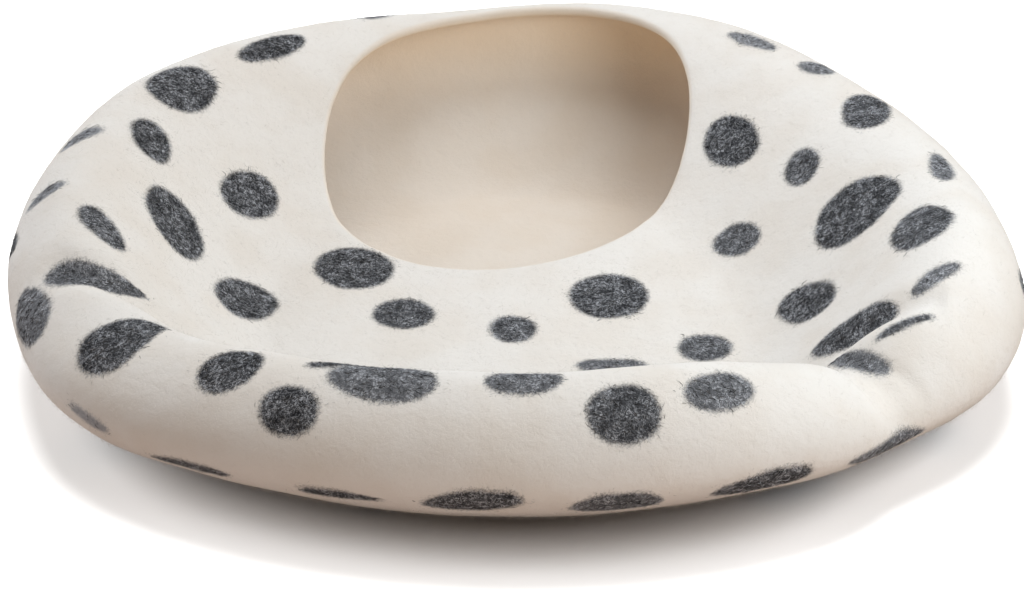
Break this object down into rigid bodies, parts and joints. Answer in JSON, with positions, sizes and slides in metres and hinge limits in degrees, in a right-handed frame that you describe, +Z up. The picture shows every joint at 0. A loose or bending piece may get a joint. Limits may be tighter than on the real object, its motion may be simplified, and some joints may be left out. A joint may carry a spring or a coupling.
{
  "type": "felt cat cave",
  "caption": "Seamless wool felt cat cave with its top pushed in: a round dished bed with a fat folded rim, and the cave's round mouth opening in the dish at the back.",
  "frame": {"origin": "middle of the flat foot, on the surface that the bed stands on", "axes": "+Z up out of the dish; -Y to the front, where the rim is lowest; +Y to the back, where the mouth is; +X to the right seen from the front"},
  "size_m": [0.5074, 0.4969, 0.1019],
  "materials": {
    "felt": "matte wet-felted wool, cream with round charcoal spots felted into the outer face"
  },
  "bodies": {
    "root": {"felt_shell": "felt"}
  },
  "joints": []
}
